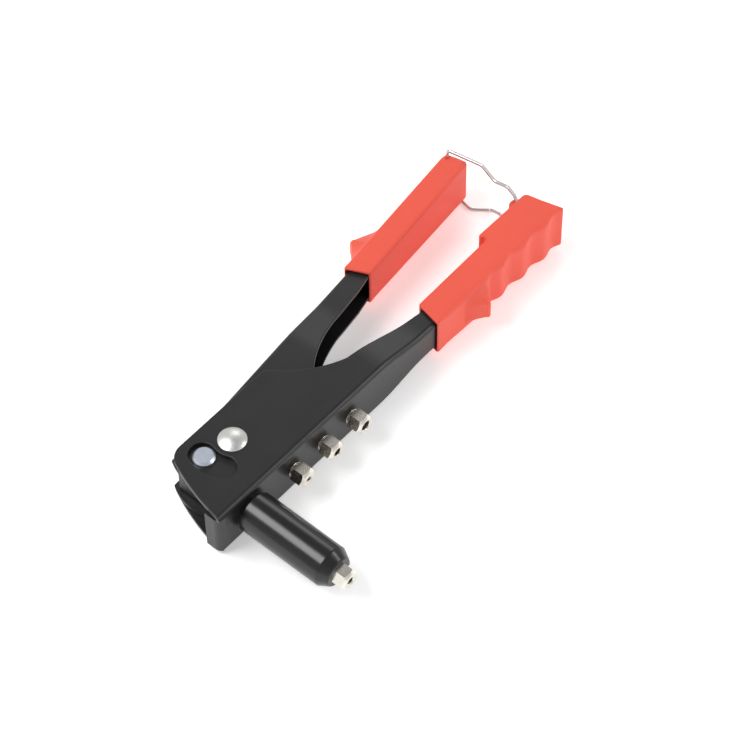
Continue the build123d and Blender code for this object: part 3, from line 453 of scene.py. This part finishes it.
def fixed_outer(x):
    """The finger side's line before its grooves."""
    return BODY_WEB - 1.5 - 2.3 * (x - FIXED_START) / (FIXED_END - FIXED_START)


def groove(x):
    if x < GROOVE_FIRST - GROOVE_LEAD:
        return 0.0
    wave = 0.5 + 0.5 * math.cos(2 * math.pi * (x - GROOVE_FIRST) / GROOVE_PITCH)
    return GROOVE_DEPTH * wave * smoothstep((x - GROOVE_FIRST + GROOVE_LEAD) / GROOVE_BLEND)


def fixed_grip_line():
    grooved = [(x, fixed_outer(x) + groove(x), 0.0)
               for x in (FIXED_END - 3.6 - 0.5 * k for k in range(round((FIXED_END - 144.0) / 0.5)))]
    corners = [(FIXED_START, fixed_outer(FIXED_START), 1.0),
               (FIXED_START + 3.0, -11.9, 1.0),
               (163.2, -11.5, 1.2), (160.2, -7.1, 0.9),
               (194.6, -7.9, 2.6), (FIXED_END, fixed_outer(FIXED_END) - 0.1, 1.8)]
    return rounded(corners + grooved)


def fixed_grip_rim(point):
    if point.x < FIXED_START + 4.5:
        return 0.7
    if point.y > -13.0:
        return 0.6 if point.x < 182.0 else 0.4
    if point.x > FIXED_END - 7.0:
        return 1.0
    return 1.9 if point.y < -20.0 else 1.2


def bail_pocket(side):
    """Room beside the ear for the wire to swing in."""
    low, high = sorted(side * depth for depth in BAIL_POCKET)
    x, y = BAIL_PIVOT
    reach = BAIL_POCKET_REACH
    far, inner = x + 2.2 * reach, y + 2 * reach
    beyond = [(x, y - reach), (far, y - reach), (far, inner), (x, inner)]
    name = "pocket_top" if side > 0 else "pocket_low"
    return [prism(name + "_round", disc(x, y, reach), low, high), prism(name + "_way", beyond, low, high)]


def fixed_grip():
    points = fixed_grip_line()
    rim = averaged([fixed_grip_rim(point) for point in points], 5)

    def push(i, level):
        x = points[i].x
        if points[i].y > -20.0 or not GUARD[0] < x < GUARD[2]:
            return 0.0
        return GUARD_HEIGHT * ridge(x, *GUARD) * fin(level, 0.48, 0.96)

    grip = moulded_block("red_grip_fixed", points, grip_half, rim, push)
    x, y = BAIL_PIVOT
    ear = prism("ear", disc(x, y, VINYL_EAR), -BAIL_EAR_HALF, BAIL_EAR_HALF)
    gap, mouth = SLEEVE_GAP, 0.9
    sleeve = [(FIXED_START - 5, BODY_WEB - gap), (BODY_END + gap, BODY_WEB - gap),
              (BODY_END + gap, BODY_RIM + gap), (FIXED_START - 5, BODY_RIM + gap)]
    flare = [(FIXED_START - 5, BODY_WEB - mouth), (FIXED_START + 6, BODY_WEB - mouth),
             (FIXED_START + 6, BODY_RIM + mouth), (FIXED_START - 5, BODY_RIM + mouth)]
    steel_half = BODY_HANDLE_HALF + gap
    wide = BODY_HANDLE_HALF + mouth
    steel_ear = disc(x, y, STEEL_EAR)
    cuts = [prism("sleeve", sleeve, -steel_half, steel_half), prism("flare", flare, -wide, wide),
            prism("steel_ear", steel_ear, -steel_half, steel_half),
            prism("pivot_hole", disc(x, y, PIVOT_HOLE, 24), -BAIL_POCKET[1], BAIL_POCKET[1])]
    cuts += bail_pocket(1) + bail_pocket(-1)
    return soft_shaded(shaped(grip, cuts, [ear]), VINYL)


LEVER_SLOPE = math.tan(math.radians(5.9))
LEVER_WEB = 16.2
THUMB = (114.5, 125.6, 141.0)
THUMB_HEIGHT = 9.6
LEVER_GRIP_WALL = 1.5
LEVER_GRIP_DEPTH = 10.9
LEVER_RIM_DEPTH = 9.4
LEVER_STEEL_END = 184.0


def on_lever(x, depth):
    """A place on the shut lever: x along it, depth in from its web's outer face."""
    return (x, LEVER_WEB + x * LEVER_SLOPE - depth)


def lever_grip_line():
    wall, depth = -LEVER_GRIP_WALL, LEVER_GRIP_DEPTH
    corners = [(*on_lever(LEVER_START, wall), 0.8), (*on_lever(LEVER_GRIP_REACH - 1.2, wall), 1.8),
               (*on_lever(LEVER_GRIP_REACH, depth), 1.8), (*on_lever(LEVER_START + 5.5, depth), 0.8)]
    return rounded(corners)


def lever_grip_rim(point):
    x, y = point
    depth = LEVER_WEB + x * LEVER_SLOPE - y
    if x < LEVER_START + 5.8 and depth > -1.4:
        return 0.7
    if x > LEVER_GRIP_REACH - 3.0:
        return 1.8 + 2.4 * smoothstep((7.0 - depth) / 8.0)
    return 1.3 if depth < 0.0 else 1.5


def lever_grip():
    points = lever_grip_line()
    rim = averaged([lever_grip_rim(point) for point in points], 6)

    def push(i, level):
        x, y = points[i]
        if LEVER_WEB + x * LEVER_SLOPE - y > 0.0 or not THUMB[0] < x < THUMB[2]:
            return 0.0
        return THUMB_HEIGHT * ridge(x, *THUMB) * fin(level, 0.46, 0.94)

    grip = moulded_block("red_grip_moving", points, grip_half, rim, push)
    gap, mouth = SLEEVE_GAP, 0.8
    start, lip = LEVER_START - 5, LEVER_START + 9

    def hollow(end, clear):
        deep = LEVER_RIM_DEPTH + clear
        return [on_lever(start, -clear), on_lever(end, -clear), on_lever(end, deep), on_lever(start, deep)]

    sleeve, flare = hollow(LEVER_STEEL_END + gap, gap), hollow(lip, mouth)
    steel_half = LEVER_HANDLE_HALF + gap
    wide = LEVER_HANDLE_HALF + mouth + 0.3
    cuts = [prism("sleeve", sleeve, -steel_half, steel_half), prism("flare", flare, -wide, wide)]
    return soft_shaded(shaped(grip, cuts), VINYL)


FIXED_GRIP = fixed_grip()
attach(FIXED_GRIP, "body")
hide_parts("fixed_grip")
LEVER_GRIP = lever_grip()
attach(LEVER_GRIP, "lever")
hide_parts("lever_grip")


# ---------------------------------------------------------------- threads of the spare nosepieces

def thread_tree():
    """Rings set along a stem, one for each turn of its thread."""
    tree = bpy.data.node_groups.new("stem_thread", "GeometryNodeTree")
    for label, kind in (("Start", "NodeSocketVector"), ("Stem Radius", "NodeSocketFloat"),
                        ("Ridge", "NodeSocketFloat"), ("Pitch", "NodeSocketVector"),
                        ("Turns", "NodeSocketInt"), ("Finish", "NodeSocketMaterial")):
        tree.interface.new_socket(label, in_out="INPUT", socket_type=kind)
    tree.interface.new_socket("Geometry", in_out="OUTPUT", socket_type="NodeSocketGeometry")
    given = tree.nodes.new("NodeGroupInput")
    result = tree.nodes.new("NodeGroupOutput")

    def add(kind, **links):
        node = tree.nodes.new(kind)
        for label, socket in links.items():
            tree.links.new(socket, node.inputs[label.replace("_", " ")])
        return node

    ring = add("GeometryNodeCurvePrimitiveCircle", Radius=given.outputs["Stem Radius"])
    ring.inputs["Resolution"].default_value = 48
    section = add("GeometryNodeCurvePrimitiveCircle", Radius=given.outputs["Ridge"])
    section.inputs["Resolution"].default_value = 8
    band = add("GeometryNodeCurveToMesh", Curve=ring.outputs["Curve"],
               Profile_Curve=section.outputs["Curve"])
    upright = add("GeometryNodeTransform", Geometry=band.outputs["Mesh"])
    upright.inputs["Rotation"].default_value = (math.pi / 2, 0.0, 0.0)
    row = add("GeometryNodeMeshLine", Count=given.outputs["Turns"],
              Start_Location=given.outputs["Start"], Offset=given.outputs["Pitch"])
    row.mode = "OFFSET"
    placed = add("GeometryNodeInstanceOnPoints", Points=row.outputs["Mesh"],
                 Instance=upright.outputs["Geometry"])
    real = add("GeometryNodeRealizeInstances", Geometry=placed.outputs["Instances"])
    dressed = add("GeometryNodeSetMaterial", Geometry=real.outputs["Geometry"],
                  Material=given.outputs["Finish"])
    tree.links.new(dressed.outputs["Geometry"], result.inputs["Geometry"])
    return tree


def made_by(tree, name, values):
    """The plain mesh that a node tree makes from the given inputs."""
    carrier = bpy.data.objects.new(name, bpy.data.meshes.new(name))
    bpy.context.collection.objects.link(carrier)
    maker = carrier.modifiers.new(name, "NODES")
    maker.node_group = tree
    sockets = {item.name: item.identifier for item in tree.interface.items_tree}
    for label, value in values.items():
        maker[sockets[label]] = value
    bpy.context.view_layer.update()
    seen = carrier.evaluated_get(bpy.context.evaluated_depsgraph_get())
    mesh = bpy.data.meshes.new_from_object(seen)
    bpy.data.objects.remove(carrier)
    return mesh


def spare_threads():
    tree = thread_tree()
    joined = bmesh.new()
    for k in range(3):
        low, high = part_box(f"nosepiece_spare_{k + 1}")
        middle = (low[0] + high[0]) / 2
        web = PIVOT[1] + BODY_WEB * MM
        joined.from_mesh(made_by(tree, "stem_thread", {
            "Start": (middle, web - 0.35 * MM, PIVOT[2]), "Stem Radius": 3.5 * MM, "Ridge": 0.24 * MM,
            "Pitch": (0.0, -0.72 * MM, 0.0), "Turns": 3, "Finish": NICKEL}))
    threads = as_piece("spare_threads", joined)
    dress(threads, NICKEL)
    for face in threads.data.polygons:
        face.use_smooth = True
    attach(threads, "body")


spare_threads()


# ---------------------------------------------------------------- stage, light and camera

def studio_floor():
    size = 3.0
    mesh = bpy.data.meshes.new("floor")
    low = CAD_BOX[0][2]
    mesh.from_pydata([(-size, -size, low), (size, -size, low), (size, size, low), (-size, size, low)],
                     [], [(0, 1, 2, 3)])
    floor = bpy.data.objects.new("floor", mesh)
    bpy.context.collection.objects.link(floor)
    f = Finish("floor_paper")
    grain = f.noise(300.0, 2.0)
    floor.data.materials.append(f.finish(
        Base_Color=f.blend(grain, (0.97, 0.97, 0.97), (0.985, 0.985, 0.985)), Roughness=0.9,
        Emission_Color=(1.0, 1.0, 1.0), Emission_Strength=0.35))


def area_light(name, place, size, watts):
    """A rectangular soft box that faces the tool."""
    lamp = bpy.data.lights.new(name, "AREA")
    lamp.shape = "RECTANGLE"
    lamp.size, lamp.size_y = size
    lamp.energy = watts
    holder = bpy.data.objects.new(name, lamp)
    holder.location = place
    holder.rotation_euler = (-Vector(place)).to_track_quat("-Z", "Y").to_euler()
    bpy.context.collection.objects.link(holder)


def studio_light():
    world = bpy.data.worlds.new("studio")
    world.use_nodes = True
    nodes, links = world.node_tree.nodes, world.node_tree.links
    way = nodes.new("ShaderNodeTexCoord")
    parts = nodes.new("ShaderNodeSeparateXYZ")
    links.new(way.outputs["Generated"], parts.inputs["Vector"])
    fade = nodes.new("ShaderNodeMapRange")
    for label, value in (("From Min", 0.0), ("From Max", 1.0), ("To Min", 0.75), ("To Max", 0.28)):
        fade.inputs[label].default_value = value
    links.new(parts.outputs["Z"], fade.inputs["Value"])
    links.new(fade.outputs["Result"], nodes["Background"].inputs["Strength"])
    nodes["Background"].inputs["Color"].default_value = (1.0, 1.0, 1.0, 1.0)
    bpy.context.scene.world = world
    bpy.context.scene.view_settings.view_transform = "Standard"
    area_light("key_box", (-0.5, 0.45, 0.95), (0.7, 0.5), 8.0)
    area_light("back_box", (0.95, 0.7, 0.85), (0.6, 0.5), 2.0)
    area_light("front_box", (0.6, -0.8, 0.7), (0.6, 0.4), 4.0)


def studio_camera():
    """Long lens, looking down along the handles from the nose's side."""
    heading, drop, roll = (math.radians(a) for a in (41.75, 52.77, -1.08))
    distance = 1.2251
    aim = Vector(at(75.83, -14.09, 0.0))
    ahead = Vector((math.cos(heading) * math.cos(drop), math.sin(heading) * math.cos(drop),
                    -math.sin(drop)))
    right = ahead.cross(Vector((0.0, 0.0, 1.0))).normalized()
    up = right.cross(ahead)
    turned_right = math.cos(roll) * right + math.sin(roll) * up
    turned_up = math.cos(roll) * up - math.sin(roll) * right
    data = bpy.data.cameras.new("camera")
    data.sensor_width = 36.0
    data.lens = 131.35
    camera = bpy.data.objects.new("camera", data)
    axes = Matrix((turned_right, turned_up, -ahead)).transposed().to_4x4()
    camera.matrix_world = Matrix.Translation(aim - distance * ahead) @ axes
    bpy.context.collection.objects.link(camera)
    bpy.context.scene.camera = camera


studio_floor()
studio_light()
studio_camera()
